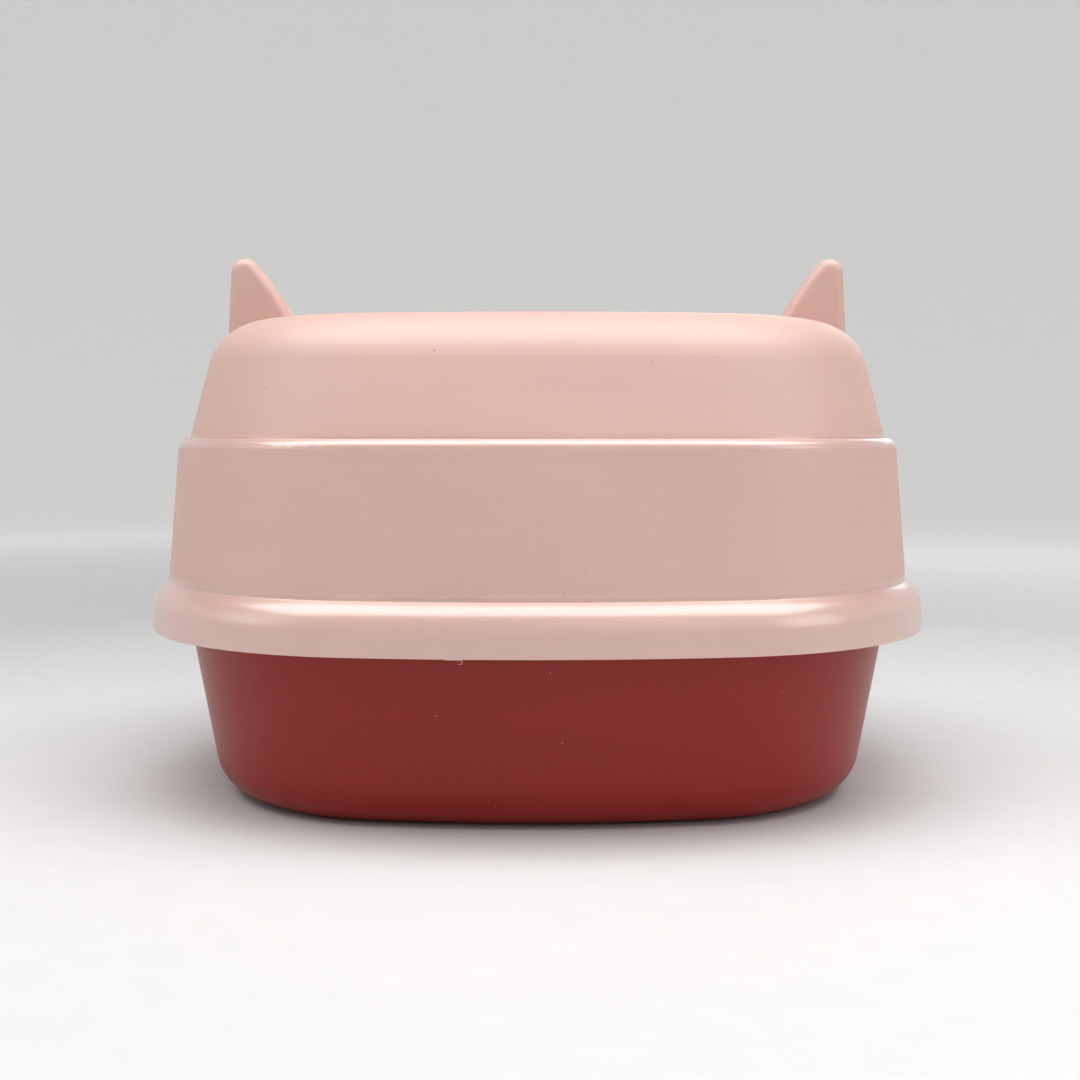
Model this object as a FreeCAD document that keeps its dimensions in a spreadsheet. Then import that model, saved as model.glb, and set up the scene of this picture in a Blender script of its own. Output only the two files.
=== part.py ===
import FreeCAD, Part
import math
import os
import re

import Sketcher

# Cat litter box: a pan, a hood with ears that drops over it, and two end latches.
# Frame: +Z up, origin on the floor under the middle of the pan, +X along the length.
# The closed back of the hood faces -Y and the open entry faces +Y. Millimetres and degrees.

# Driving dimensions: alias, value, meaning. An inset is measured inwards from the rim's outer face.
SIZES = [
    ("rim_length", 497, "hood rim, end to end"),
    ("rim_depth", 403, "hood rim, back to front"),
    ("corner_share", 0.4045, "rim outline's corner radius as a share of its depth"),
    ("side_bow_radius", 708, "gentle bow of the long sides of the rim outline"),
    ("end_bow_radius", 467, "gentle bow of the short ends of the rim outline"),
    ("pan_height", 122, "floor to the top of the pan's flange"),
    ("pan_top_inset", 20.7, "pan wall, outside, at the flange"),
    ("pan_base_inset", 41.9, "pan wall, outside, carried down to the floor"),
    ("pan_wall", 2.5, "pan wall and lip thickness"),
    ("base_radius", 27, "rounding of the pan's bottom edge"),
    ("floor_thickness", 4, "pan bottom at the foot ring"),
    ("foot_recess", 1.5, "hollow under the pan inside the foot ring"),
    ("foot_ring_width", 12, "flat ring that the pan stands on, inside the rounding"),
    ("flange_thickness", 3, "pan flange"),
    ("lip_drop", 7, "turned-down lip below the flange"),
    ("rim_clearance", 1.5, "gap between the flange and the hood's skirt"),
    ("wall", 2.5, "hood wall"),
    ("skirt_drop", 15.5, "hood skirt below the top of the flange"),
    ("rim_face", 12, "upright outer face of the skirt"),
    ("rim_radius", 20, "rounded shoulder of the rim above its face"),
    ("groove_depth", 6, "hollow inside the rim above the flange"),
    ("groove_bevel", 5, "slanted corner inside the rim's shoulder"),
    ("seat_inset", 9.2, "outside of the seat rib and of the lower wall at its foot"),
    ("lower_tier_height", 102.4, "top of the flange to the step"),
    ("step_inset", 18.1, "lower wall, outside, at the step"),
    ("step_width", 6.7, "ledge of the step"),
    ("step_radius", 6.2, "rounding of the step's edge"),
    ("upper_tier_height", 72.8, "step to roof"),
    ("roof_inset", 44.1, "upper wall, outside, carried up to the roof"),
    ("roof_radius", 36, "rounding of the roof's edge"),
    ("entry_setback", 4, "front edge of the roof behind the middle"),
    ("entry_slope", 50, "angle of the cheeks' upper edge, degrees"),
    ("entry_radius", 110, "sweep from the cheeks into the front edge"),
    ("front_height", 46, "front wall of the hood above the flange"),
    ("lip_reach", 3.5, "raised lip of the entry beyond the wall"),
    ("lip_width", 7, "raised lip along the entry's edge"),
    ("ear_setback", 28, "back face of the ears behind the middle, at the roof"),
    ("ear_thickness", 22, "ears, back to front, at the roof"),
    ("ear_plate_depth", 7, "even part of the ears behind their leaning front"),
    ("ear_wall", 3, "ear wall round the ears' hollows"),
    ("ear_lean", 6, "backward lean of the ears' back faces, degrees"),
    ("ear_front_lean", 20, "backward lean of the ears' front faces, degrees"),
    ("ear_tip_radius", 9, "rounded tip"),
    ("ear_tip_inset", 58.6, "centre of the tip's rounding from the rim's end"),
    ("ear_tip_height", 34.2, "centre of the tip's rounding above the roof"),
    ("ear_root_radius", 9, "rounding of the ear's buried lower corners"),
    ("ear_outer_inset", 54.4, "centre of the outer lower corner from the rim's end"),
    ("ear_inner_inset", 87.5, "centre of the inner lower corner from the rim's end"),
    ("ear_root_depth", 16, "centres of the lower corners below the roof"),
    ("ear_bow_radius", 150, "gentle bow of the ears' inner edges"),
    ("ear_back_radius", 6, "soft border of the ears' back faces"),
    ("ear_front_radius", 3, "soft border of the ears' front faces"),
    ("latch_width", 45, "latch flap"),
    ("latch_gap", 0.6, "gap at each side of the flap"),
    ("latch_open", 20, "flap's angle from closed as stored, degrees"),
    ("barrel_radius", 2.8, "hinge barrel of the flap"),
    ("barrel_clearance", 0.8, "gap between the barrel and the seat rib"),
    ("barrel_cover", 0.5, "barrel below the rim's rounded face"),
    ("notch_headroom", 5, "notch above the hinge line"),
    ("trunnion_radius", 2, "hinge stubs on the flap"),
    ("trunnion_length", 4.5, "hinge stubs beyond the flap"),
    ("trunnion_clearance", 0.05, "running gap round the stubs"),
    ("boss_width", 7, "hinge boss beside the notch"),
    ("boss_clearance", 1, "gap between the bosses and the flange"),
    ("hook_height", 4, "hook at the foot of the flap"),
    ("overrun", 10, "how far cutting shapes pass the surfaces they cut"),
]
NAMES = {name for name, _, _ in SIZES}

# How close an edge lies to a level to be counted as being on it
LEVEL_MATCH = 1e-3

doc = FreeCAD.newDocument("litter_box")
sheet = doc.addObject("Spreadsheet::Sheet", "Sizes")
for row, (name, value, meaning) in enumerate(SIZES, start=1):
    sheet.set(f"A{row}", meaning)
    sheet.set(f"B{row}", str(value))
    sheet.setAlias(f"B{row}", name)
doc.recompute()


def formula(text):
    """Expression on the sheet, from one written with bare size names."""
    return re.sub(r"[a-z_]+", lambda word: ("Sizes." if word[0] in NAMES else "") + word[0], text)


def bind(item, prop, text):
    item.setExpression(prop, formula(text))


# Places that several pieces share
CORNER_RADIUS = "(corner_share * rim_depth)"
RIM_BOTTOM = "(pan_height - skirt_drop)"
RIM_CENTRE = "(pan_height - skirt_drop + rim_face)"
STEP = "(pan_height + lower_tier_height)"
ROOF = "(pan_height + lower_tier_height + upper_tier_height)"
FLANGE_INSET = "(wall + rim_clearance)"
HINGE_INSET = "(seat_inset - barrel_radius - barrel_clearance)"
HINGE_RISE = f"sqrt((rim_radius - barrel_radius - barrel_cover)^2 - (rim_radius - {HINGE_INSET})^2)"
HINGE_HEIGHT = f"({RIM_CENTRE} + {HINGE_RISE})"
NOTCH_WIDTH = "(latch_width + 2 * latch_gap)"


def body_named(name):
    return doc.addObject("PartDesign::Body", name)


def sketch_on(body, name, role, offset="0"):
    """Empty sketch parallel to one of the body's own origin planes."""
    sketch = body.newObject("Sketcher::SketchObject", name)
    plane = next(item for item in body.Origin.OriginFeatures if item.Role == role)
    sketch.AttachmentSupport = [(plane, "")]
    sketch.MapMode = "FlatFace"
    bind(sketch, "AttachmentOffset.Base.z", offset)
    return sketch


def constrain(sketch, *parts):
    """One constraint; a last item that is text is its bound value."""
    *places, last = parts
    if not isinstance(last, str):
        sketch.addConstraint(Sketcher.Constraint(*parts))
        return
    index = sketch.addConstraint(Sketcher.Constraint(*places, measured(sketch, *places)))
    bind(sketch, f"Constraints[{index}]", last)


def measured(sketch, kind, *places):
    """Present value of a size in the sketch's drawn geometry."""
    if kind == "Radius":
        return sketch.Geometry[places[0]].Radius
    if kind == "Angle":
        places = (places[0], START, places[0], END)
    reach = sketch.getPoint(*places[2:]) - sketch.getPoint(*places[:2])
    if kind == "Angle":
        return math.atan2(reach.y, reach.x)
    return reach.x if kind == "DistanceX" else reach.y


# Sketch references: points of an edge, and the two axes that meet at the origin
START, END, CENTRE = range(1, 4)
X_AXIS, Y_AXIS = range(-1, -3, -1)
ORIGIN = (X_AXIS, START)


def arc(centre_x, centre_y, radius, start, end):
    circle = Part.Circle(FreeCAD.Vector(centre_x, centre_y), FreeCAD.Vector(0, 0, 1), radius)
    return Part.ArcOfCircle(circle, start, end)


def line(start, end):
    return Part.LineSegment(FreeCAD.Vector(*start), FreeCAD.Vector(*end))


def meeting_point(first, first_reach, second, second_reach):
    """Point at two distances from two points, on the left of the way from the first to the second."""
    apart = math.dist(first, second)
    along = (first_reach**2 - second_reach**2 + apart**2) / (2 * apart)
    across = math.sqrt(first_reach**2 - along**2)
    step_x = (second[0] - first[0]) / apart
    step_y = (second[1] - first[1]) / apart
    return first[0] + along * step_x - across * step_y, first[1] + along * step_y + across * step_x


def rim_arcs():
    """The rim outline's eight tangent arcs, anticlockwise from the right end."""
    radius = sheet.corner_share * sheet.rim_depth
    end_x = sheet.rim_length / 2 - sheet.end_bow_radius
    side_y = sheet.rim_depth / 2 - sheet.side_bow_radius
    side_reach = sheet.side_bow_radius - radius
    end_reach = sheet.end_bow_radius - radius
    corner_x, corner_y = meeting_point((end_x, 0), end_reach, (0, side_y), side_reach)
    low = math.atan2(corner_y, corner_x - end_x)
    high = math.atan2(corner_y - side_y, corner_x)
    return [
        arc(end_x, 0, sheet.end_bow_radius, -low, low),
        arc(corner_x, corner_y, radius, low, high),
        arc(0, side_y, sheet.side_bow_radius, high, math.pi - high),
        arc(-corner_x, corner_y, radius, math.pi - high, math.pi - low),
        arc(-end_x, 0, sheet.end_bow_radius, math.pi - low, math.pi + low),
        arc(-corner_x, -corner_y, radius, math.pi + low, math.pi + high),
        arc(0, -side_y, sheet.side_bow_radius, math.pi + high, -high),
        arc(corner_x, -corner_y, radius, -high, -low),
    ]


def add_outline(sketch, inset):
    """Rim outline moved inwards by an inset: same centres, smaller radii."""
    arcs = sketch.addGeometry(rim_arcs(), False)
    right, front, left, back = arcs[::2]
    corners = arcs[1::2]
    for this, following in zip(arcs, arcs[1:] + arcs[:1]):
        constrain(sketch, "Tangent", this, END, following, START)
    for end in (right, left):
        constrain(sketch, "PointOnObject", end, CENTRE, X_AXIS)
    for side in (front, back):
        constrain(sketch, "PointOnObject", side, CENTRE, Y_AXIS)
    for other in corners[1:]:
        constrain(sketch, "Equal", corners[0], other)
    constrain(sketch, "Equal", front, back)
    constrain(sketch, "Equal", right, left)
    constrain(sketch, "DistanceX", right, CENTRE, *ORIGIN, "end_bow_radius - rim_length / 2")
    constrain(sketch, "DistanceX", *ORIGIN, left, CENTRE, "end_bow_radius - rim_length / 2")
    constrain(sketch, "DistanceY", front, CENTRE, *ORIGIN, "side_bow_radius - rim_depth / 2")
    constrain(sketch, "DistanceY", *ORIGIN, back, CENTRE, "side_bow_radius - rim_depth / 2")
    constrain(sketch, "Radius", right, f"end_bow_radius - {inset}")
    constrain(sketch, "Radius", corners[0], f"{CORNER_RADIUS} - {inset}")
    constrain(sketch, "Radius", front, f"side_bow_radius - {inset}")


def outline(body, name, height, *insets):
    """Level sketch of one or more rim outlines."""
    sketch = sketch_on(body, name, "XY_Plane", height)
    for inset in insets:
        add_outline(sketch, inset)
    return sketch


def extrude(body, kind, name, sketch, length, side="One side", reverse=False):
    """Pad along a sketch's normal, or pocket the same way."""
    item = body.newObject(f"PartDesign::{kind}", name)
    item.Profile = sketch
    item.SideType = side
    item.Reversed = reverse != (kind == "Pocket")
    bind(item, "Length", length)
    doc.recompute()
    return item


def loft(body, kind, name, lower, upper):
    item = body.newObject(f"PartDesign::{kind}", name)
    item.Profile = lower
    item.Sections = [upper]
    item.Ruled = True
    doc.recompute()
    return item


def edge_break(body, kind, name, base, edges, size):
    """Fillet or chamfer along some of a feature's edges."""
    item = body.newObject(f"PartDesign::{kind}", name)
    item.Base = (base, edges)
    bind(item, "Radius" if kind == "Fillet" else "Size", size)
    doc.recompute()
    return item


def fillet(body, name, base, edges, radius):
    return edge_break(body, "Fillet", name, base, edges, radius)


def edges_at(feature, level):
    """Names of a feature's edges that lie at one height."""
    names = []
    for number, edge in enumerate(feature.Shape.Edges, start=1):
        box = edge.BoundBox
        if abs(box.ZMin - level) < LEVEL_MATCH and abs(box.ZMax - level) < LEVEL_MATCH:
            names.append(f"Edge{number}")
    return names


def level_of(sketch):
    return sketch.Placement.Base.z


def roof_level():
    return sheet.pan_height + sheet.lower_tier_height + sheet.upper_tier_height


def boolean(kind, name, base, tool):
    item = doc.addObject(f"Part::{kind}", name)
    item.Base = base
    item.Tool = tool
    return item


def join(name, shapes):
    item = doc.addObject("Part::MultiFuse", name)
    item.Shapes = shapes
    return item


def mirror(name, source):
    """Copy of a piece at the other end of the box."""
    item = doc.addObject("Part::Mirroring", name)
    item.Source = source
    item.Normal = FreeCAD.Vector(1, 0, 0)
    return item


def block(name, x, y, z, length, width, height):
    item = doc.addObject("Part::Box", name)
    for prop, text in zip(("Length", "Width", "Height"), (length, width, height)):
        bind(item, prop, text)
    for axis, text in zip("xyz", (x, y, z)):
        bind(item, f"Placement.Base.{axis}", text)
    return item


def pan_outside():
    """Solid of the pan's outer faces, with its flange, lip and foot ring."""
    pan = body_named("pan_outside")
    flange = outline(pan, "flange_outline", "pan_height - flange_thickness", FLANGE_INSET)
    extrude(pan, "Pad", "flange", flange, "flange_thickness")
    lip_inset = f"({FLANGE_INSET} + pan_wall)"
    lip = outline(pan, "lip_outline", "pan_height - flange_thickness - lip_drop", FLANGE_INSET, lip_inset)
    extrude(pan, "Pad", "flange_lip", lip, "lip_drop")
    base = outline(pan, "pan_base", "0", "pan_base_inset")
    top = outline(pan, "pan_top", "pan_height", "pan_top_inset")
    form = loft(pan, "AdditiveLoft", "pan_form", base, top)
    fillet(pan, "pan_base_edge", form, edges_at(form, 0), "base_radius")
    foot = outline(pan, "foot_outline", "0", "(pan_base_inset + base_radius + foot_ring_width)")
    extrude(pan, "Pocket", "foot_hollow", foot, "foot_recess")
    return pan


def pan_inside():
    """Solid of the space that holds the litter, carried past the pan's top."""
    hollow = body_named("pan_inside")
    mouth = outline(hollow, "pan_mouth", "pan_height", "(pan_top_inset + pan_wall)")
    extrude(hollow, "Pad", "mouth_overrun", mouth, "overrun")
    floor = outline(hollow, "pan_floor", "floor_thickness", "(pan_base_inset + pan_wall)")
    space = loft(hollow, "AdditiveLoft", "litter_space", floor, mouth)
    fillet(hollow, "floor_edge", space, edges_at(space, level_of(floor)), "base_radius - pan_wall")
    return hollow


def litter_pan():
    """Pan moulding: drafted wall, flange with a turned-down lip, foot ring."""
    return boolean("Cut", "litter_pan", pan_outside(), pan_inside())


def hood_outside():
    """Solid of the hood's outer faces: rim, two drafted tiers and roof."""
    hood = body_named("hood_outside")
    rim = outline(hood, "rim_outline", RIM_BOTTOM, "0")
    rim_pad = extrude(hood, "Pad", "rim_block", rim, "rim_face + rim_radius")
    rim_edges = edges_at(rim_pad, level_of(rim) + rim_pad.Length.Value)
    fillet(hood, "rim_shoulder", rim_pad, rim_edges, "rim_radius")
    foot = outline(hood, "lower_tier_foot", "pan_height", "seat_inset")
    step = outline(hood, "lower_tier_top", STEP, "step_inset")
    lower = loft(hood, "AdditiveLoft", "lower_tier", foot, step)
    fillet(hood, "step_edge", lower, edges_at(lower, level_of(step)), "step_radius")
    base = outline(hood, "upper_tier_foot", STEP, "(step_inset + step_width)")
    roof = outline(hood, "upper_tier_top", ROOF, "roof_inset")
    upper = loft(hood, "AdditiveLoft", "upper_tier", base, roof)
    fillet(hood, "roof_edge", upper, edges_at(upper, level_of(roof)), "roof_radius")
    return hood


def hood_inside():
    """Solid of the hollow: flange space, groove in the rim, two tiers."""
    hollow = body_named("hood_inside")
    skirt = outline(hollow, "skirt_inside", f"{RIM_BOTTOM} - overrun", "wall")
    space = extrude(hollow, "Pad", "flange_space", skirt, "overrun + skirt_drop + groove_depth")
    groove_edges = edges_at(space, level_of(skirt) + space.Length.Value)
    edge_break(hollow, "Chamfer", "groove_edge", space, groove_edges, "groove_bevel")
    rib = outline(hollow, "seat_rib_outline", "pan_height", "seat_inset", "(seat_inset + wall)")
    extrude(hollow, "Pocket", "seat_rib", rib, "groove_depth")
    foot = outline(hollow, "lower_hollow_foot", "pan_height", "(seat_inset + wall)")
    step = outline(hollow, "lower_hollow_top", f"{STEP} - wall", "(step_inset + wall)")
    lower = loft(hollow, "AdditiveLoft", "lower_hollow", foot, step)
    step_edges = edges_at(lower, level_of(step))
    edge_break(hollow, "Chamfer", "step_inner_edge", lower, step_edges, "(step_radius - wall) / 2")
    base = outline(hollow, "upper_hollow_foot", f"{STEP} - wall", "(step_inset + step_width + wall)")
    roof = outline(hollow, "upper_hollow_top", f"{ROOF} - wall", "(roof_inset + wall)")
    upper = loft(hollow, "AdditiveLoft", "upper_hollow", base, roof)
    fillet(hollow, "roof_inner_edge", upper, edges_at(upper, level_of(roof)), "roof_radius - wall")
    return hollow


def lip_outside():
    """The two tiers grown outwards by the reach of the entry's raised lip."""
    grown = body_named("lip_outside")
    foot = outline(grown, "lip_lower_foot", "pan_height", "(seat_inset - lip_reach)")
    step = outline(grown, "lip_lower_top", f"{STEP} + lip_reach", "(step_inset - lip_reach)")
    loft(grown, "AdditiveLoft", "lip_lower", foot, step)
    base = outline(grown, "lip_upper_foot", STEP, "(step_inset + step_width - lip_reach)")
    roof = outline(grown, "lip_upper_top", f"{ROOF} + lip_reach", "(roof_inset - lip_reach)")
    upper = loft(grown, "AdditiveLoft", "lip_upper", base, roof)
    fillet(grown, "lip_roof_edge", upper, edges_at(upper, level_of(roof)), "roof_radius + lip_reach")
    return grown


def entry(name, grow):
    """Everything in front of the swept entry edge, moved back and down by a growth."""
    body = body_named(name)
    sketch = sketch_on(body, f"{name}_profile", "YZ_Plane")
    slope = math.radians(sheet.entry_slope)
    back = -sheet.entry_setback
    roof = roof_level()
    top = roof + sheet.overrun
    front = sheet.rim_depth / 2 + sheet.overrun
    edge = sheet.pan_height + sheet.front_height
    radius = sheet.entry_radius
    centre_y = back + (radius - (edge + radius - roof) * math.cos(slope)) / math.sin(slope)
    cheek_y = centre_y - radius * math.sin(slope)
    cheek_z = edge + radius - radius * math.cos(slope)
    cheek, sweep, ledge, face, lid, rear = range(6)
    sketch.addGeometry(
        [
            line((back, roof), (cheek_y, cheek_z)),
            arc(centre_y, edge + radius, radius, 1.5 * math.pi - slope, 1.5 * math.pi),
            line((centre_y, edge), (front, edge)),
            line((front, edge), (front, top)),
            line((front, top), (back, top)),
            line((back, top), (back, roof)),
        ],
        False,
    )
    constrain(sketch, "Tangent", cheek, END, sweep, START)
    constrain(sketch, "Tangent", sweep, END, ledge, START)
    for first, second in ((ledge, face), (face, lid), (lid, rear), (rear, cheek)):
        constrain(sketch, "Coincident", first, END, second, START)
    constrain(sketch, "Horizontal", ledge)
    constrain(sketch, "Horizontal", lid)
    constrain(sketch, "Vertical", face)
    constrain(sketch, "Vertical", rear)
    setback = f"entry_setback + {grow} / sin(entry_slope * 1 deg)"
    constrain(sketch, "DistanceX", cheek, START, *ORIGIN, setback)
    constrain(sketch, "DistanceY", *ORIGIN, cheek, START, ROOF)
    constrain(sketch, "DistanceY", *ORIGIN, lid, START, f"{ROOF} + overrun")
    constrain(sketch, "DistanceX", *ORIGIN, face, START, "rim_depth / 2 + overrun")
    constrain(sketch, "DistanceY", *ORIGIN, ledge, START, f"pan_height + front_height - {grow}")
    constrain(sketch, "Radius", sweep, f"entry_radius + {grow}")
    constrain(sketch, "Angle", cheek, "-entry_slope * 1 deg")
    extrude(body, "Pad", f"{name}_block", sketch, "rim_length", "Symmetric")
    return body


def heading(start, end):
    return math.atan2(end[1] - start[1], end[0] - start[0])


def edge_point(centre, radius, angle):
    return centre[0] + radius * math.cos(angle), centre[1] + radius * math.sin(angle)


def ear_arcs():
    """Rounded triangle of the right ear seen from behind, anticlockwise from its outer lower corner."""
    half = sheet.rim_length / 2
    root_radius = sheet.ear_root_radius
    tip_radius = sheet.ear_tip_radius
    bow_radius = sheet.ear_bow_radius
    outer = (half - sheet.ear_outer_inset, -sheet.ear_root_depth)
    inner = (half - sheet.ear_inner_inset, -sheet.ear_root_depth)
    tip = (half - sheet.ear_tip_inset, sheet.ear_tip_height)
    bow = meeting_point(tip, bow_radius - tip_radius, inner, bow_radius - root_radius)
    down = -math.pi / 2
    out = heading(outer, tip) - math.acos((root_radius - tip_radius) / math.dist(outer, tip))
    high = heading(bow, tip)
    low = heading(bow, inner)
    return [
        arc(*outer, root_radius, down, out),
        line(edge_point(outer, root_radius, out), edge_point(tip, tip_radius, out)),
        arc(*tip, tip_radius, out, high),
        arc(*bow, bow_radius, high, low),
        arc(*inner, root_radius, low, down),
        line(edge_point(inner, root_radius, down), edge_point(outer, root_radius, down)),
    ]


def ear_ring(body, name, behind, lean, shrink):
    """Outline of the right ear on an upright plane that leans back from the roof."""
    sketch = sketch_on(body, name, "XZ_Plane")
    tilt = FreeCAD.Rotation(FreeCAD.Vector(1, 0, 0), getattr(sheet, lean))
    sketch.AttachmentOffset = FreeCAD.Placement(FreeCAD.Vector(), tilt)
    bind(sketch, "AttachmentOffset.Rotation.Angle", f"{lean} * 1 deg")
    bind(sketch, "AttachmentOffset.Base.y", ROOF)
    bind(sketch, "AttachmentOffset.Base.z", behind)
    edges = sketch.addGeometry(ear_arcs(), False)
    outer, _, tip, bow, inner, _ = edges
    for this, following in zip(edges, edges[1:] + edges[:1]):
        constrain(sketch, "Tangent", this, END, following, START)
    for corner, inset, radius in (
        (outer, "ear_outer_inset", "ear_root_radius"),
        (tip, "ear_tip_inset", "ear_tip_radius"),
        (inner, "ear_inner_inset", "ear_root_radius"),
    ):
        constrain(sketch, "DistanceX", *ORIGIN, corner, CENTRE, f"rim_length / 2 - {inset}")
        constrain(sketch, "Radius", corner, f"{radius} - {shrink}")
    constrain(sketch, "Radius", bow, f"ear_bow_radius - {shrink}")
    for corner in (outer, inner):
        constrain(sketch, "DistanceY", corner, CENTRE, *ORIGIN, "ear_root_depth")
    constrain(sketch, "DistanceY", *ORIGIN, tip, CENTRE, "ear_tip_height")
    return sketch


def ear(name, shrink, edge_kind, back_size, front_size):
    """Right ear, or its hollow: flat back with a soft border, front leaning back to a thin tip."""
    body = body_named(name)
    depth = f"(ear_plate_depth - {shrink})"
    rear_place = f"ear_setback - {shrink}"
    front_place = f"ear_setback - ear_thickness + {shrink}"
    back = ear_ring(body, f"{name}_back", rear_place, "ear_lean", shrink)
    plate = extrude(body, "Pad", f"{name}_plate", back, depth, reverse=True)
    back_edges = face_edges(plate, FreeCAD.Vector(0, -1, 0))
    edge_break(body, edge_kind, f"{name}_back_edge", plate, back_edges, back_size)
    middle = ear_ring(body, f"{name}_middle", f"{rear_place} - {depth}", "ear_lean", shrink)
    front = ear_ring(body, f"{name}_front", front_place, "ear_front_lean", shrink)
    taper = loft(body, "AdditiveLoft", f"{name}_taper", middle, front)
    front_edges = face_edges(taper, FreeCAD.Vector(0, 1, 1))
    edge_break(body, edge_kind, f"{name}_front_edge", taper, front_edges, front_size)
    return body


def face_edges(feature, direction):
    """Names of the edges round the flat face that looks most along a direction."""
    flat = [face for face in feature.Shape.Faces if isinstance(face.Surface, Part.Plane)]
    chosen = max(flat, key=lambda face: face.normalAt(0, 0).dot(direction))
    return [
        f"Edge{number}"
        for number, edge in enumerate(feature.Shape.Edges, start=1)
        if any(edge.isSame(border) for border in chosen.Edges)
    ]


def hinge_boss(name, y):
    """Block inside the rim beside the right notch, which holds a trunnion."""
    return block(
        name,
        "rim_length / 2 - seat_inset - wall / 2",
        y,
        "pan_height + boss_clearance",
        "seat_inset - wall / 2",
        "boss_width",
        "groove_depth",
    )


def latch_notch():
    """Gap in the rim at the right end, with the trunnions' holes beside it."""
    gap = block(
        "notch_gap",
        "rim_length / 2 - seat_inset",
        f"-{NOTCH_WIDTH} / 2",
        f"{RIM_BOTTOM} - overrun",
        "seat_inset + overrun",
        NOTCH_WIDTH,
        f"overrun + {HINGE_HEIGHT} + notch_headroom - {RIM_BOTTOM}",
    )
    hole = doc.addObject("Part::Cylinder", "trunnion_hole")
    bind(hole, "Radius", "trunnion_radius + trunnion_clearance")
    bind(hole, "Height", "latch_width + 2 * trunnion_length + 2 * latch_gap")
    hole.Placement.Rotation = FreeCAD.Rotation(FreeCAD.Vector(1, 0, 0), 90)
    bind(hole, "Placement.Base.x", f"rim_length / 2 - {HINGE_INSET}")
    bind(hole, "Placement.Base.y", "latch_width / 2 + trunnion_length + latch_gap")
    bind(hole, "Placement.Base.z", HINGE_HEIGHT)
    return join("right_notch", [gap, hole])


def hood():
    """Hood moulding: outer solid with ears, bosses and lip, less its hollows and the entry."""
    outside = hood_outside()
    inside = hood_inside()
    right_ear = ear("right_ear", "0", "Fillet", "ear_back_radius", "ear_front_radius")
    core_bevel = "(ear_back_radius - ear_wall) / 2"
    right_core = ear("right_ear_core", "ear_wall", "Chamfer", core_bevel, core_bevel)
    right_notch = latch_notch()
    bosses = join(
        "right_bosses",
        [
            hinge_boss("front_boss", f"{NOTCH_WIDTH} / 2"),
            hinge_boss("back_boss", f"-{NOTCH_WIDTH} / 2 - boss_width"),
        ],
    )
    eared = join("eared_form", [outside, right_ear, mirror("left_ear", right_ear)])
    cores = join("hollows", [inside, right_core, mirror("left_ear_core", right_core)])
    shell = boolean("Cut", "hood_shell", eared, cores)
    held = join("hood_with_bosses", [shell, bosses, mirror("left_bosses", bosses)])
    notches = join("notches", [right_notch, mirror("left_notch", right_notch)])
    notched = boolean("Cut", "hood_notched", held, notches)
    mouth = entry("entry_mouth", "0")
    border = entry("entry_border", "lip_width")
    thick = boolean("Cut", "lip_shell", lip_outside(), inside)
    lip = boolean("Common", "entry_lip", thick, border)
    whole = join("hood_with_lip", [notched, lip])
    return boolean("Cut", "hood", whole, mouth)


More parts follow.
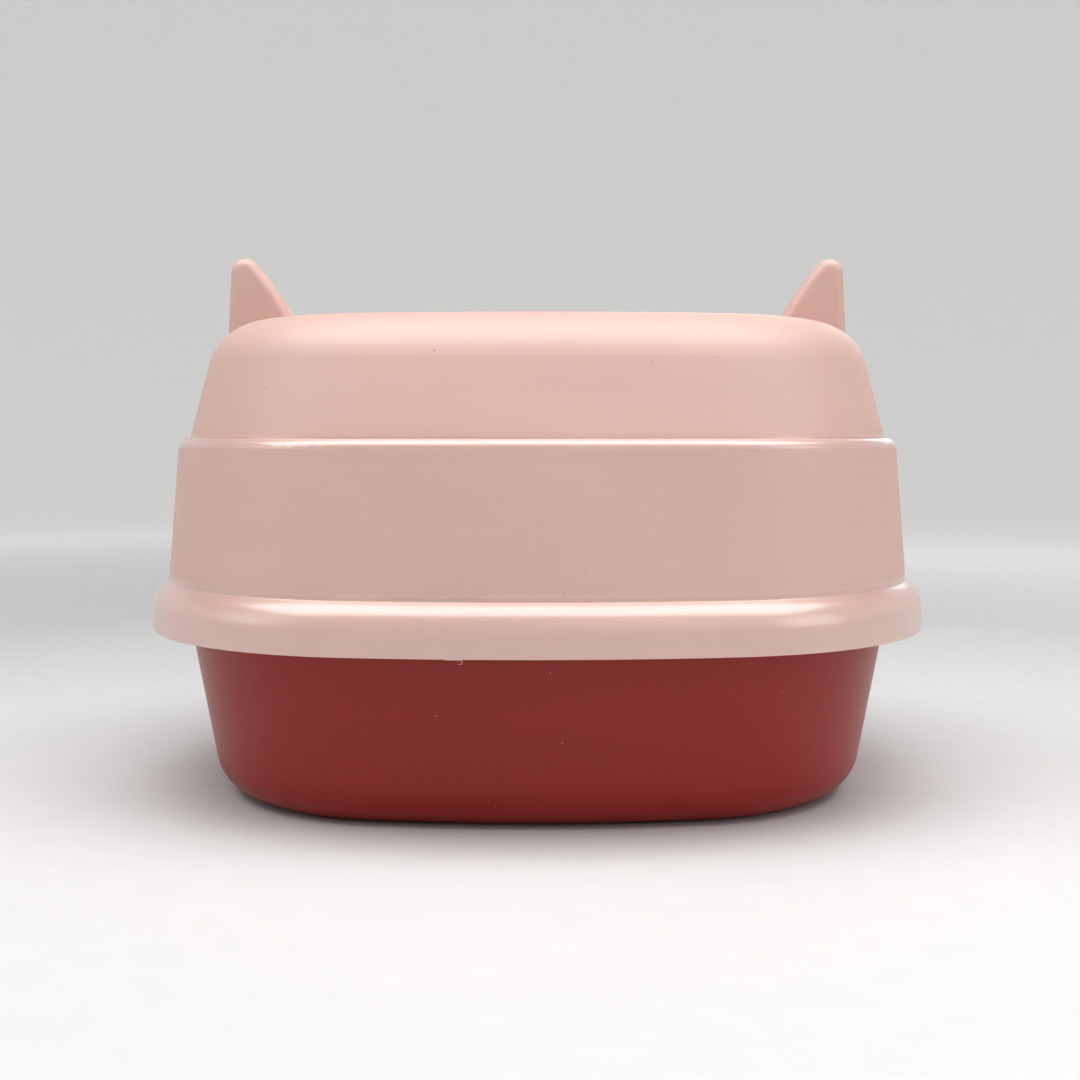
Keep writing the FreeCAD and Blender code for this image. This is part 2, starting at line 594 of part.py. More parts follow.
def latch():
    """Right latch: rim-shaped flap with a hook, hinge barrel and trunnions, stored open."""
    body = body_named("right_latch")
    sketch = sketch_on(body, "flap_profile", "XZ_Plane")
    inset = sheet.seat_inset - sheet.barrel_radius - sheet.barrel_clearance
    radius = sheet.rim_radius
    inner = radius - sheet.wall
    rise = math.sqrt((radius - sheet.barrel_radius - sheet.barrel_cover) ** 2 - (radius - inset) ** 2)
    middle_x = inset - radius
    turn = math.atan2(rise, -middle_x)
    bottom = -rise - sheet.rim_face
    shelf = -rise - sheet.rim_face + sheet.hook_height
    tip_x = inset - sheet.wall - sheet.rim_clearance - sheet.pan_wall
    outer_end = (middle_x + radius * math.cos(turn), -rise + radius * math.sin(turn))
    inner_end = (middle_x + inner * math.cos(turn), -rise + inner * math.sin(turn))
    face, shoulder, top, lining, back, ledge, nose, foot = range(8)
    sketch.addGeometry(
        [
            line((inset, bottom), (inset, -rise)),
            arc(middle_x, -rise, radius, 0, turn),
            line(outer_end, inner_end),
            arc(middle_x, -rise, inner, 0, turn),
            line((inset - sheet.wall, -rise), (inset - sheet.wall, shelf)),
            line((inset - sheet.wall, shelf), (tip_x, shelf)),
            line((tip_x, shelf), (tip_x, bottom)),
            line((tip_x, bottom), (inset, bottom)),
        ],
        False,
    )
    constrain(sketch, "Tangent", face, END, shoulder, START)
    constrain(sketch, "Coincident", shoulder, END, top, START)
    constrain(sketch, "Coincident", top, END, lining, END)
    constrain(sketch, "Tangent", lining, START, back, START)
    for first, second in ((back, ledge), (ledge, nose), (nose, foot), (foot, face)):
        constrain(sketch, "Coincident", first, END, second, START)
    for upright in (face, back, nose):
        constrain(sketch, "Vertical", upright)
    for level in (ledge, foot):
        constrain(sketch, "Horizontal", level)
    constrain(sketch, "Coincident", shoulder, CENTRE, lining, CENTRE)
    constrain(sketch, "PointOnObject", *ORIGIN, top)
    constrain(sketch, "PointOnObject", shoulder, CENTRE, top)
    constrain(sketch, "DistanceX", shoulder, CENTRE, *ORIGIN, f"rim_radius - {HINGE_INSET}")
    constrain(sketch, "DistanceY", shoulder, CENTRE, *ORIGIN, HINGE_RISE)
    constrain(sketch, "Radius", shoulder, "rim_radius")
    constrain(sketch, "Radius", lining, "rim_radius - wall")
    constrain(sketch, "DistanceY", foot, START, *ORIGIN, f"{HINGE_RISE} + rim_face")
    constrain(sketch, "DistanceY", foot, START, ledge, START, "hook_height")
    constrain(sketch, "DistanceX", nose, START, face, START, f"{FLANGE_INSET} + pan_wall")
    extrude(body, "Pad", "flap", sketch, "latch_width", "Symmetric")
    for name, size, length in (
        ("barrel", "barrel_radius", "latch_width"),
        ("trunnions", "trunnion_radius", "latch_width + 2 * trunnion_length"),
    ):
        ring = sketch_on(body, f"{name}_profile", "XZ_Plane")
        ring.addGeometry(Part.Circle(FreeCAD.Vector(), FreeCAD.Vector(0, 0, 1), sheet.barrel_radius), False)
        constrain(ring, "Coincident", 0, CENTRE, *ORIGIN)
        constrain(ring, "Radius", 0, size)
        extrude(body, "Pad", name, ring, length, "Symmetric")
    body.Placement.Rotation = FreeCAD.Rotation(FreeCAD.Vector(0, 1, 0), -sheet.latch_open)
    bind(body, "Placement.Rotation.Angle", "-latch_open * 1 deg")
    bind(body, "Placement.Base.x", f"rim_length / 2 - {HINGE_INSET}")
    bind(body, "Placement.Base.z", HINGE_HEIGHT)
    return body


right_latch = latch()
NODES = {
    "litter_pan": litter_pan(),
    "hood": hood(),
    "right_latch": right_latch,
    "left_latch": mirror("left_latch", right_latch),
}
doc.recompute()

for item in doc.Objects:
    if "Invalid" in item.State or "Error" in item.State:
        raise RuntimeError(f"{item.Label} did not build: {item.State}")
os.makedirs("parts", exist_ok=True)
for node, item in NODES.items():
    item.Label = node
    if item.Shape.isNull() or not item.Shape.isValid():
        raise RuntimeError(f"{node} has no valid shape")
for node, item in NODES.items():
    print(node, len(item.Shape.Solids), "solid,", round(item.Shape.Volume / 1000, 1), "cm3")
    item.Shape.exportStep(f"parts/{node}.step")
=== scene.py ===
import math

import bpy
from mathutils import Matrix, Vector


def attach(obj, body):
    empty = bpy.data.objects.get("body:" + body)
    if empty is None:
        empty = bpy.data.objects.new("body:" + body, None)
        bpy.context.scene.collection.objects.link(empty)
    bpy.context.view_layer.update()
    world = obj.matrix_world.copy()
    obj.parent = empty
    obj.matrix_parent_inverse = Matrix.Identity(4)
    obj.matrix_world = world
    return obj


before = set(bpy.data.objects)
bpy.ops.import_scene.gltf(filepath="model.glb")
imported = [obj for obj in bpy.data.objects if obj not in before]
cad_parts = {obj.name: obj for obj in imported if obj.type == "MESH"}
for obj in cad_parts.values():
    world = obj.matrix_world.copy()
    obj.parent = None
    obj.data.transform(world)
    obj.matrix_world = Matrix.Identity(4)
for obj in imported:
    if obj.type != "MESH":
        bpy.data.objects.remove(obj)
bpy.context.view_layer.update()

bl_info = {
    "name": "Litter box looks",
    "version": (1, 0, 0),
    "blender": (4, 5, 0),
    "location": "3D View > Sidebar > Litter box",
    "description": "Finishes, a curl of moulding flash and a plain stage for the hooded litter box",
    "category": "Object",
}


# Sizes and colours that a user may change

class PlasticLooks(bpy.types.PropertyGroup):
    """Colours and surface of the two moulded plastics"""

    hood_colour: bpy.props.FloatVectorProperty(
        name="Hood colour", description="Pale pink of the hood and its latches",
        subtype="COLOR", size=3, min=0, max=1, default=(0.69, 0.443, 0.383),
    )
    hood_roughness: bpy.props.FloatProperty(
        name="Hood roughness", description="How dull the hood's plastic is",
        subtype="FACTOR", min=0, max=1, default=0.48,
    )
    polish_roughness: bpy.props.FloatProperty(
        name="Polish roughness", description="How dull the polished rim and step edge of the hood are",
        subtype="FACTOR", min=0, max=1, default=0.22,
    )
    rim_top: bpy.props.FloatProperty(
        name="Rim top", description="Height under which the hood is polished",
        subtype="DISTANCE", unit="LENGTH", default=0.1395,
    )
    step_top: bpy.props.FloatProperty(
        name="Step top", description="Height of the step, whose edge is polished",
        subtype="DISTANCE", unit="LENGTH", default=0.2244,
    )
    pan_colour: bpy.props.FloatVectorProperty(
        name="Pan colour", description="Dark red of the pan",
        subtype="COLOR", size=3, min=0, max=1, default=(0.3, 0.013, 0.006),
    )
    pan_roughness: bpy.props.FloatProperty(
        name="Pan roughness", description="How dull the pan's plastic is",
        subtype="FACTOR", min=0, max=1, default=0.34,
    )
    grain_size: bpy.props.FloatProperty(
        name="Grain size", description="Width of one dimple of the moulded skin",
        subtype="DISTANCE", unit="LENGTH", min=0.0002, default=0.0016,
    )
    speck_spacing: bpy.props.FloatProperty(
        name="Speck spacing", description="Usual distance between small specks in the plastic",
        subtype="DISTANCE", unit="LENGTH", min=0.002, default=0.007,
    )


class FlashLooks(bpy.types.PropertyGroup):
    """Thin curl of moulding flash under the back of the hood's rim"""

    place: bpy.props.FloatVectorProperty(
        name="Place", description="Left end of the curl, at the rim's lower edge",
        subtype="TRANSLATION", unit="LENGTH", size=3, default=(-0.0505, -0.1989, 0.1063),
    )
    thickness: bpy.props.FloatProperty(
        name="Thickness", description="Thickness of the curl where it leaves the rim",
        subtype="DISTANCE", unit="LENGTH", min=0.0002, default=0.0008,
    )
    reach: bpy.props.FloatProperty(
        name="Reach", description="Length of one straight stretch of the curl along the rim",
        subtype="DISTANCE", unit="LENGTH", min=0.001, default=0.0035,
    )


class StageLooks(bpy.types.PropertyGroup):
    """Floor, lamps and camera"""

    floor_colour: bpy.props.FloatVectorProperty(
        name="Floor colour", description="Pale paper under and all round the box",
        subtype="COLOR", size=3, min=0, max=1, default=(0.72, 0.716, 0.71),
    )
    floor_reach: bpy.props.FloatProperty(
        name="Floor reach", description="From the middle of the floor to its upright edge",
        subtype="DISTANCE", unit="LENGTH", min=1.0, default=4.5,
    )
    backdrop_glow: bpy.props.FloatProperty(
        name="Backdrop glow",
        description="Paleness added to the far part of the paper, which lights nothing",
        subtype="FACTOR", min=0, max=1, default=0.62,
    )
    sky_light: bpy.props.FloatProperty(
        name="Light from above", description="Strength of the even light straight above",
        min=0, max=4, default=0.2,
    )
    level_light: bpy.props.FloatProperty(
        name="Light from the sides", description="Strength of the even light at the height of the box",
        min=0, max=4, default=0.06,
    )
    overhead_power: bpy.props.FloatProperty(
        name="Overhead lamp", description="Power of the broad lamp above the box",
        subtype="POWER", unit="POWER", min=0, default=38.5,
    )
    right_power: bpy.props.FloatProperty(
        name="Right lamp", description="Power of the soft lamp at the right",
        subtype="POWER", unit="POWER", min=0, default=9.0,
    )
    left_power: bpy.props.FloatProperty(
        name="Left lamp", description="Power of the soft lamp at the left",
        subtype="POWER", unit="POWER", min=0, default=6.0,
    )
    back_power: bpy.props.FloatProperty(
        name="Back lamp", description="Power of the soft lamp above the camera, towards the right",
        subtype="POWER", unit="POWER", min=0, default=2.5,
    )
    entry_power: bpy.props.FloatProperty(
        name="Entry lamp", description="Power of the soft lamp on the entry side",
        subtype="POWER", unit="POWER", min=0, default=5.0,
    )
    camera_place: bpy.props.FloatVectorProperty(
        name="Camera place", description="Where the camera stands",
        subtype="TRANSLATION", unit="LENGTH", size=3, default=(-0.0047, -0.915, 0.2256),
    )
    camera_pitch: bpy.props.FloatProperty(
        name="Camera pitch", description="How far the camera looks down",
        subtype="ANGLE", unit="ROTATION", default=math.radians(4.39),
    )
    camera_yaw: bpy.props.FloatProperty(
        name="Camera yaw", description="How far the camera looks towards the right end",
        subtype="ANGLE", unit="ROTATION", default=math.radians(0.4),
    )
    lens: bpy.props.FloatProperty(
        name="Lens", description="Focal length on a 36 mm wide picture",
        subtype="DISTANCE_CAMERA", unit="CAMERA", min=10, default=45.0,
    )


# Middle of a noise and of a random draw
MIDDLE = 0.5

# Tone of the plastics: a tone is a factor of the colour, a scale counts features in a metre
CLOUD_SCALE = 7.0
STREAK_SCALE = 2.0
STREAK_STRETCH = (2.5, 2.5, 26)
STREAK_SHARE = 0.6
TONE_RANGE = (0.5, 1.1)
DARK_TONE = 0.955
PALE_TONE = 1.035

# Specks: the cutoff leaves about a quarter of the places filled, the radius is a share of the spacing
SPECK_CUTOFF = 0.72
SPECK_RADIUS = 0.09
SPECK_STRENGTH = 0.6
DARK_SPECK_TONE = 0.4
PALE_SPECK_TONE = 1.35
PALE_RED_SPECK = (0.5, 0.3, 0.27)

# Scuffs: thin lines where a bent noise passes its middle, kept to patches
SCUFF_SCALE = 16.0
SCUFF_BEND = 1.2
SCUFF_WIDTH = 0.002
PATCH_SCALE = 11.0
PATCH_RANGE = (0.56, 0.68)
SCUFF_DULLNESS = 0.1
PINK_SCUFF_TONE = 1.12
RED_SCUFF = (0.4, 0.16, 0.13)

# Creases: painted shade, darker where surfaces stand closer than the reach, in metres
CREASE_RAYS = 8
CREASE_REACH = 0.005
CREASE_RANGE = (0.45, 0.85)
CREASE_STRENGTH = 0.35
CREASE_SHADE_TONE = 0.55

# Gloss: roughness follows the streaks, and polished bands fade out over a few millimetres
STREAK_RANGE = (0.3, 0.7)
SMOOTHER_BY = 0.02
ROUGHER_BY = 0.03
COAT_ROUGHNESS = 0.3
PLASTIC_IOR = 1.49
RIM_FADE = 0.002
STEP_EDGE_DROP = 0.002
STEP_BAND = (0.0025, 0.0045)

# Moulded skin: heights in metres
WAVE_SCALE = 45.0
FINE_BUMP = {"Strength": 0.05, "Distance": 0.0004}
BROAD_BUMP = {"Strength": 0.06, "Distance": 0.0012}


# Procedural finishes

def feed(tree, socket, value):
    """Link a socket from another one, or set it to a fixed value."""
    if isinstance(value, bpy.types.NodeSocket):
        tree.links.new(value, socket)
    else:
        socket.default_value = value


def add_node(tree, kind, settings=None, **inputs):
    """One shader node with its settings; an underscore in an input's name stands for a space."""
    node = tree.nodes.new(kind)
    for name, value in (settings or {}).items():
        setattr(node, name, value)
    for name, value in inputs.items():
        feed(tree, node.inputs[name.replace("_", " ")], value)
    return node


def noise(tree, place, scale, detail, **inputs):
    """A cloudy value between nought and one."""
    node = add_node(tree, "ShaderNodeTexNoise", Vector=place, Scale=scale, Detail=detail, **inputs)
    return node.outputs["Fac"]


def ramped(tree, value, low, high, to_low=0.0, to_high=1.0):
    """A value stretched from one range to another and clamped."""
    node = add_node(
        tree, "ShaderNodeMapRange", {"clamp": True},
        Value=value, From_Min=low, From_Max=high, To_Min=to_low, To_Max=to_high,
    )
    return node.outputs["Result"]


def combined(tree, operation, first, second):
    """Two values joined by one operation."""
    node = add_node(tree, "ShaderNodeMath", {"operation": operation})
    feed(tree, node.inputs[0], first)
    feed(tree, node.inputs[1], second)
    return node.outputs["Value"]


def distance_from(tree, value, level):
    """How far a value is from a level, either way."""
    return combined(tree, "ABSOLUTE", combined(tree, "SUBTRACT", value, level), 0)


def tinted(tree, amount, colour, other):
    """A colour mixed towards another one by an amount."""
    node = add_node(tree, "ShaderNodeMix", {"data_type": "RGBA"}, Factor=amount)
    for name, value in (("A", colour), ("B", other)):
        socket = next(item for item in node.inputs if item.name == name and item.type == "RGBA")
        feed(tree, socket, value if isinstance(value, bpy.types.NodeSocket) else (*value, 1))
    return next(item for item in node.outputs if item.type == "RGBA")


def shade(colour, factor):
    """A colour made darker or paler."""
    return tuple(min(1.0, part * factor) for part in colour)


def flow_streaks(tree, place):
    """Streaks along the flow of the plastic, level round the walls."""
    stretched = add_node(tree, "ShaderNodeMapping", Vector=place, Scale=STREAK_STRETCH).outputs["Vector"]
    return noise(tree, stretched, STREAK_SCALE, detail=4.0, Roughness=0.55)


def soft_tones(tree, place, streaks, colour):
    """The colour with slow changes of tone and faint streaks."""
    clouds = noise(tree, place, CLOUD_SCALE, detail=3.0, Roughness=0.5)
    tone = combined(tree, "ADD", clouds, combined(tree, "MULTIPLY", streaks, STREAK_SHARE))
    return tinted(tree, ramped(tree, tone, *TONE_RANGE), shade(colour, DARK_TONE), shade(colour, PALE_TONE))


def with_specks(tree, place, base, speck_colours, spacing):
    """Small dark and pale specks scattered over a base colour."""
    cells = add_node(tree, "ShaderNodeTexVoronoi", Vector=place, Scale=1 / spacing).outputs
    drawn = add_node(tree, "ShaderNodeSeparateColor", Color=cells["Color"]).outputs
    filled = combined(tree, "GREATER_THAN", drawn["Red"], SPECK_CUTOFF)
    radius = combined(tree, "MULTIPLY", drawn["Green"], SPECK_RADIUS)
    spot = combined(tree, "LESS_THAN", cells["Distance"], radius)
    specks = combined(tree, "MULTIPLY", combined(tree, "MULTIPLY", filled, spot), SPECK_STRENGTH)
    paler = combined(tree, "GREATER_THAN", drawn["Blue"], MIDDLE)
    return tinted(tree, specks, base, tinted(tree, paler, *speck_colours))


def scuff_mask(tree, place, scuffing):
    """Thin bent scuffs that show only in patches."""
    bent = noise(tree, place, SCUFF_SCALE, detail=1.0, Distortion=SCUFF_BEND)
    thin = ramped(tree, distance_from(tree, bent, MIDDLE), 0.0, SCUFF_WIDTH, 1.0, 0.0)
    patchy = ramped(tree, noise(tree, place, PATCH_SCALE, detail=2.0), *PATCH_RANGE)
    return combined(tree, "MULTIPLY", combined(tree, "MULTIPLY", thin, patchy), scuffing)


def with_painted_crease_shade(tree, base, colour):
    """A base colour with painted shade where surfaces of one piece meet closely."""
    hollow = add_node(
        tree, "ShaderNodeAmbientOcclusion", {"samples": CREASE_RAYS, "only_local": True},
        Distance=CREASE_REACH,
    )
    # Painted shade: the colour darkens where ambient occlusion finds nearby surfaces
    painted_crease_shade = ramped(tree, hollow.outputs["AO"], *CREASE_RANGE, CREASE_STRENGTH, 0.0)
    return tinted(tree, painted_crease_shade, base, shade(colour, CREASE_SHADE_TONE))


def polish_mask(tree, place, looks):
    """One on the hood's rim and on the edge of its step, nought on its walls."""
    height = add_node(tree, "ShaderNodeSeparateXYZ", Vector=place).outputs["Z"]
    rim = ramped(tree, height, looks.rim_top - RIM_FADE, looks.rim_top + RIM_FADE, 1.0, 0.0)
    from_edge = distance_from(tree, height, looks.step_top - STEP_EDGE_DROP)
    step = ramped(tree, from_edge, *STEP_BAND, 1.0, 0.0)
    return combined(tree, "MAXIMUM", rim, step)


def moulded_skin(tree, place, grain_size):
    """Fine dimples and broad shallow waves."""
    dimples = noise(tree, place, 1 / grain_size, detail=2.0)
    fine = add_node(tree, "ShaderNodeBump", Height=dimples, **FINE_BUMP).outputs["Normal"]
    waves = noise(tree, place, WAVE_SCALE, detail=2.0)
    return add_node(tree, "ShaderNodeBump", Height=waves, Normal=fine, **BROAD_BUMP).outputs["Normal"]


def moulded_plastic(
    name, looks, colour, roughness, speck_colours, scuff_colour, scuffing, gloss, polished=False,
):
    """Semi-gloss moulded plastic: soft tones, flow streaks, specks, scuffs, painted shade in creases and a
    dimpled skin.
    """
    material = bpy.data.materials.new(name)
    material.use_nodes = True
    tree = material.node_tree
    shader = tree.nodes["Principled BSDF"].inputs
    place = tree.nodes.new("ShaderNodeTexCoord").outputs["Object"]
    streaks = flow_streaks(tree, place)
    scuffs = scuff_mask(tree, place, scuffing)

    base = soft_tones(tree, place, streaks, colour)
    base = with_specks(tree, place, base, speck_colours, looks.speck_spacing)
    base = tinted(tree, scuffs, base, scuff_colour)
    # Painted shade in creases goes into the base colour
    feed(tree, shader["Base Color"], with_painted_crease_shade(tree, base, colour))

    dull = ramped(tree, streaks, *STREAK_RANGE, roughness - SMOOTHER_BY, roughness + ROUGHER_BY)
    if polished:
        mask = polish_mask(tree, place, looks)
        polish = combined(tree, "MULTIPLY", mask, roughness - looks.polish_roughness)
        dull = combined(tree, "SUBTRACT", dull, polish)
        feed(tree, shader["Coat Weight"], mask)
        feed(tree, shader["Coat Roughness"], COAT_ROUGHNESS)
    worn = combined(tree, "MULTIPLY", scuffs, SCUFF_DULLNESS)
    feed(tree, shader["Roughness"], combined(tree, "ADD", dull, worn))

    feed(tree, shader["Normal"], moulded_skin(tree, place, looks.grain_size))
    feed(tree, shader["IOR"], PLASTIC_IOR)
    feed(tree, shader["Specular IOR Level"], gloss)
    return material


def dress(node, finish):
    """Put a finish on every material slot of a CAD node."""
    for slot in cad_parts[node].material_slots:
        slot.material = finish


# One operator for each finish or piece

class LITTERBOX_OT_hood_finish(bpy.types.Operator):
    """Give the hood and its latches their pale pink plastic"""

    bl_idname = "litterbox.hood_finish"
    bl_label = "Hood and latch finish"

    def execute(self, context):
        looks = context.scene.litterbox_plastic
        colour = looks.hood_colour
        finish = moulded_plastic(
            "pale_pink_plastic", looks, colour, looks.hood_roughness,
            speck_colours=(shade(colour, DARK_SPECK_TONE), shade(colour, PALE_SPECK_TONE)),
            scuff_colour=shade(colour, PINK_SCUFF_TONE),
            scuffing=0.12, gloss=1.0, polished=True,
        )
        for node in ("hood", "right_latch", "left_latch"):
            dress(node, finish)
        return {"FINISHED"}


class LITTERBOX_OT_pan_finish(bpy.types.Operator):
    """Give the pan its dark red plastic"""

    bl_idname = "litterbox.pan_finish"
    bl_label = "Pan finish"

    def execute(self, context):
        looks = context.scene.litterbox_plastic
        colour = looks.pan_colour
        finish = moulded_plastic(
            "dark_red_plastic", looks, colour, looks.pan_roughness,
            speck_colours=(shade(colour, DARK_SPECK_TONE), PALE_RED_SPECK),
            scuff_colour=RED_SCUFF,
            scuffing=0.08, gloss=0.35,
        )
        dress("litter_pan", finish)
        return {"FINISHED"}


# Turns of the flash curl in radians, each with its length as a share of one straight stretch
CURL = ((0, 1), (0, 1), (0.3, 0.4), (0.6, 0.25), (0.8, 0.22), (0.8, 0.22), (0.5, 0.25), (0.3, 0.25))

# Thickness at the end of a stretch as a share of that at its start, and how often the curl is subdivided
CURL_TAPER = 0.92
CURL_SOFTENING = 2


def pick(item, wanted):
    """Select only the points of a mesh in edit mode that a test wants."""
    bpy.ops.mesh.select_mode(type="VERT")
    bpy.ops.mesh.select_all(action="DESELECT")
    bpy.ops.object.mode_set(mode="OBJECT")
    for point in item.data.vertices:
        point.select = wanted(point.co)
    bpy.ops.object.mode_set(mode="EDIT")


class LITTERBOX_OT_flash_tag(bpy.types.Operator):
    """Model the thin curl of flash left under the back of the rim"""

    bl_idname = "litterbox.flash_tag"
    bl_label = "Flash tag"

    def execute(self, context):
        looks = context.scene.litterbox_flash
        end = Vector(looks.place)
        bpy.ops.object.select_all(action="DESELECT")
        bpy.ops.mesh.primitive_cube_add(size=looks.thickness, location=end)
        tag = context.object
        tag.name = "flash_tag"
        bpy.ops.object.transform_apply(location=True, rotation=True, scale=True)
        bpy.ops.object.mode_set(mode="EDIT")
        pick(tag, lambda co: co.x > looks.place[0])
        end.x += looks.thickness / 2
        heading = 0
        for turn, share in CURL:
            heading += turn
            move = Vector((math.cos(heading), 0, -math.sin(heading))) * looks.reach * share
            bpy.ops.mesh.extrude_region_move(TRANSFORM_OT_translate={"value": move})
            end += move
            bpy.ops.transform.rotate(value=-turn, orient_axis="Y", center_override=end)
            bpy.ops.transform.resize(value=(CURL_TAPER, CURL_TAPER, CURL_TAPER), center_override=end)
        bpy.ops.object.mode_set(mode="OBJECT")
        softened = tag.modifiers.new("softened", "SUBSURF")
        softened.levels = CURL_SOFTENING
        softened.render_levels = CURL_SOFTENING
        bpy.ops.object.modifier_apply(modifier=softened.name)
        bpy.ops.object.shade_smooth()
        tag.data.materials.append(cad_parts["hood"].material_slots[0].material)
        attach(tag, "hood")
        return {"FINISHED"}


# Paper of the floor, and where its glow starts and is full as shares of the floor's reach
FIBRE_SCALE = 40.0
FIBRE_RANGE = (0.35, 0.65)
FIBRE_TONES = (0.99, 1.01)
PAPER_ROUGHNESS = 0.75
PAPER_GLOSS = 0.1
GLOW_START = 1 / 5
GLOW_FULL = 1 / 2

# Soft lamps in metres: place, point that it faces, width and depth
BOX_MIDDLE = (0, 0, 0.15)
LAMPS = {
    "overhead": ((0, -0.4, 1.5), (0, -0.4, 0), (2.9, 1.15)),
    "right": ((2.3, -1.3, 1.1), BOX_MIDDLE, (1.3, 1.3)),
    "left": ((-2.4, -1.0, 1.2), BOX_MIDDLE, (1.3, 1.3)),
    "back": ((0.8, -2.2, 1.5), BOX_MIDDLE, (1.6, 1.2)),
    "entry": ((0.7, 1.7, 1.0), BOX_MIDDLE, (1.2, 1.0)),
}
PICTURE_WIDTH_MM = 36


def pale_paper(stage):
    """Matt paper; its far part looks paler to the eye and in gloss, but lights nothing."""
    paper = bpy.data.materials.new("pale_paper")
    paper.use_nodes = True
    tree = paper.node_tree
    shader = tree.nodes["Principled BSDF"].inputs
    place = tree.nodes.new("ShaderNodeTexCoord").outputs["Object"]
    fibres = ramped(tree, noise(tree, place, FIBRE_SCALE, detail=4.0), *FIBRE_RANGE)
    tones = [shade(stage.floor_colour, tone) for tone in FIBRE_TONES]
    feed(tree, shader["Base Color"], tinted(tree, fibres, *tones))
    feed(tree, shader["Roughness"], PAPER_ROUGHNESS)
    feed(tree, shader["Specular IOR Level"], PAPER_GLOSS)
    rays = tree.nodes.new("ShaderNodeLightPath").outputs
    seen = combined(tree, "MAXIMUM", rays["Is Camera Ray"], rays["Is Glossy Ray"])
    seen = combined(tree, "MAXIMUM", seen, rays["Is Transmission Ray"])
    away = add_node(tree, "ShaderNodeVectorMath", {"operation": "LENGTH"}, Vector=place).outputs["Value"]
    start = stage.floor_reach * GLOW_START
    full = stage.floor_reach * GLOW_FULL
    far = ramped(tree, away, start, full, 0.0, stage.backdrop_glow)
    feed(tree, shader["Emission Strength"], combined(tree, "MULTIPLY", seen, far))
    feed(tree, shader["Emission Color"], (*stage.floor_colour, 1))
    return paper


def floor_bowl(context, stage):
    """Round floor whose edge turns up all round into a low backdrop."""
    reach = stage.floor_reach
    wall = reach / 2
    bend = reach / 3
    bpy.ops.object.select_all(action="DESELECT")
    bpy.ops.mesh.primitive_circle_add(vertices=96, radius=reach, fill_type="NGON", location=(0, 0, 0))
    floor = context.object
    floor.name = "floor_bowl"
    bpy.ops.object.mode_set(mode="EDIT")
    bpy.ops.mesh.select_mode(type="EDGE")
    bpy.ops.mesh.select_all(action="SELECT")
    bpy.ops.mesh.extrude_edges_move(TRANSFORM_OT_translate={"value": (0, 0, wall)})
    bpy.ops.object.mode_set(mode="OBJECT")
    for edge in floor.data.edges:
        edge.select = all(floor.data.vertices[index].co.z < wall / 2 for index in edge.vertices)
    bpy.ops.object.mode_set(mode="EDIT")
    bpy.ops.mesh.bevel(offset=bend, segments=24, affect="EDGES")
    bpy.ops.mesh.select_all(action="SELECT")
    bpy.ops.mesh.normals_make_consistent(inside=True)
    bpy.ops.object.mode_set(mode="OBJECT")
    bpy.ops.object.shade_smooth()
    floor.data.materials.append(pale_paper(stage))


def soft_sky(context, stage):
    """Even light all round, stronger from above."""
    world = bpy.data.worlds.new("soft_sky")
    world.use_nodes = True
    tree = world.node_tree
    background = tree.nodes["Background"].inputs
    direction = tree.nodes.new("ShaderNodeTexCoord").outputs["Generated"]
    height = add_node(tree, "ShaderNodeSeparateXYZ", Vector=direction).outputs["Z"]
    feed(tree, background["Color"], (1, 1, 1, 1))
    feed(tree, background["Strength"], ramped(tree, height, 0.0, 1.0, stage.level_light, stage.sky_light))
    context.scene.world = world


def soft_lamp(context, name, place, target, size, power):
    """Rectangular lamp that faces a point."""
    data = bpy.data.lights.new(name, "AREA")
    data.shape = "RECTANGLE"
    data.size, data.size_y = size
    data.energy = power
    lamp = bpy.data.objects.new(name, data)
    lamp.location = place
    lamp.rotation_euler = (Vector(target) - Vector(place)).to_track_quat("-Z", "Y").to_euler()
    context.scene.collection.objects.link(lamp)


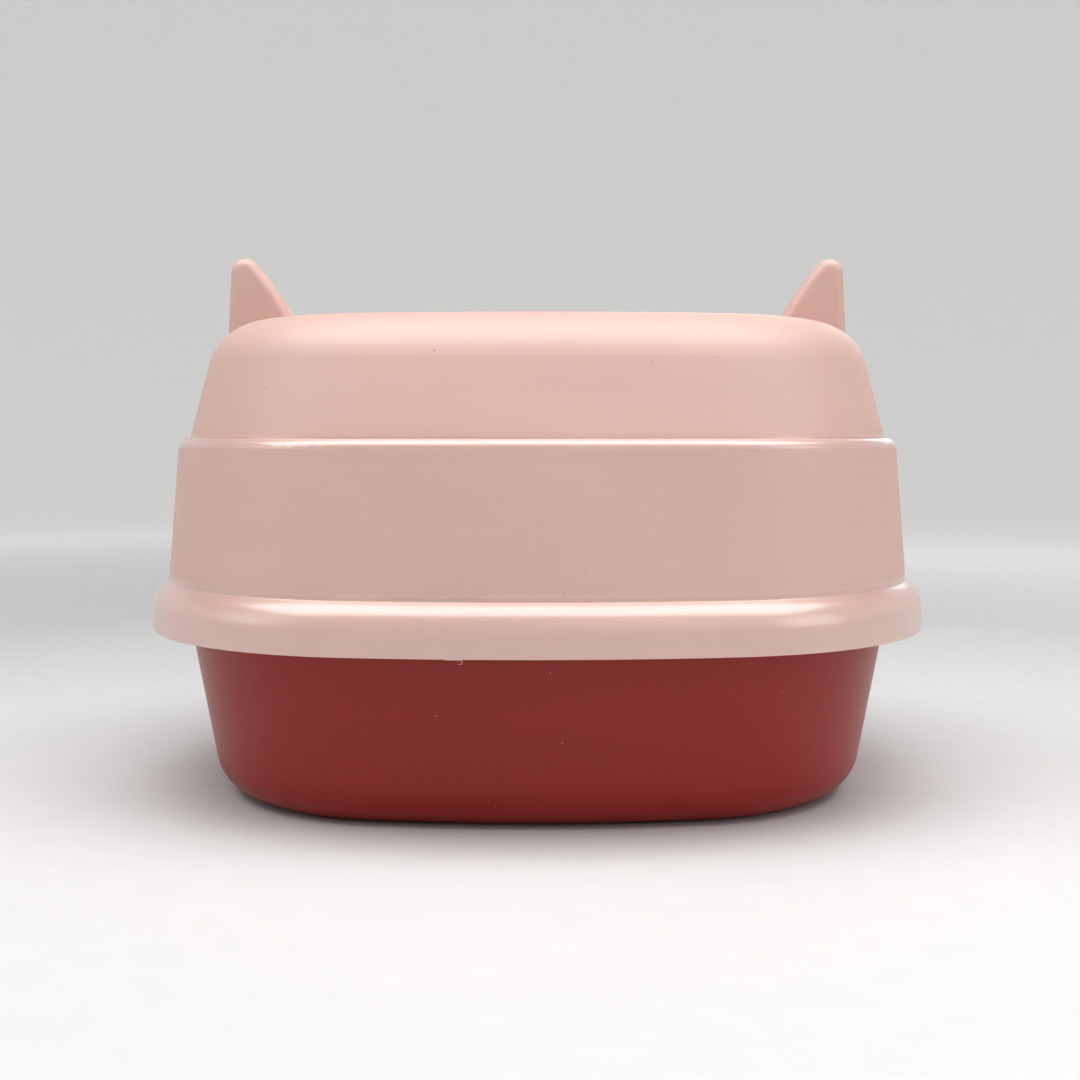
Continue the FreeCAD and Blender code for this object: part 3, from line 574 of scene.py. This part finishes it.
def photo_camera(context, stage):
    """Camera at the viewing angle of the photograph."""
    data = bpy.data.cameras.new("photo_camera")
    data.lens = stage.lens
    data.sensor_width = PICTURE_WIDTH_MM
    camera = bpy.data.objects.new("photo_camera", data)
    camera.location = stage.camera_place
    camera.rotation_euler = (math.pi / 2 - stage.camera_pitch, 0, -stage.camera_yaw)
    context.scene.collection.objects.link(camera)
    context.scene.camera = camera


class LITTERBOX_OT_stage(bpy.types.Operator):
    """Make the floor, the light and the camera"""

    bl_idname = "litterbox.stage"
    bl_label = "Stage"

    def execute(self, context):
        stage = context.scene.litterbox_stage
        floor_bowl(context, stage)
        soft_sky(context, stage)
        for name, (place, target, size) in LAMPS.items():
            soft_lamp(context, name + "_lamp", place, target, size, getattr(stage, name + "_power"))
        photo_camera(context, stage)
        context.scene.view_settings.view_transform = "Standard"
        return {"FINISHED"}


class LITTERBOX_PT_looks(bpy.types.Panel):
    """Sidebar panel with the sizes, colours and steps"""

    bl_idname = "LITTERBOX_PT_looks"
    bl_label = "Litter box"
    bl_space_type = "VIEW_3D"
    bl_region_type = "UI"
    bl_category = "Litter box"

    def draw(self, context):
        scene = context.scene
        for group in (scene.litterbox_plastic, scene.litterbox_flash, scene.litterbox_stage):
            box = self.layout.box()
            for name in group.__annotations__:
                box.prop(group, name)
        for step in OPERATORS:
            self.layout.operator(step.bl_idname)


OPERATORS = (
    LITTERBOX_OT_hood_finish,
    LITTERBOX_OT_pan_finish,
    LITTERBOX_OT_flash_tag,
    LITTERBOX_OT_stage,
)
CLASSES = (PlasticLooks, FlashLooks, StageLooks, *OPERATORS, LITTERBOX_PT_looks)


def register():
    for item in CLASSES:
        bpy.utils.register_class(item)
    bpy.types.Scene.litterbox_plastic = bpy.props.PointerProperty(type=PlasticLooks)
    bpy.types.Scene.litterbox_flash = bpy.props.PointerProperty(type=FlashLooks)
    bpy.types.Scene.litterbox_stage = bpy.props.PointerProperty(type=StageLooks)


def unregister():
    del bpy.types.Scene.litterbox_stage
    del bpy.types.Scene.litterbox_flash
    del bpy.types.Scene.litterbox_plastic
    for item in reversed(CLASSES):
        bpy.utils.unregister_class(item)


def main():
    register()
    bpy.ops.litterbox.hood_finish()
    bpy.ops.litterbox.pan_finish()
    bpy.ops.litterbox.flash_tag()
    bpy.ops.litterbox.stage()


if __name__ == "__main__":
    main()
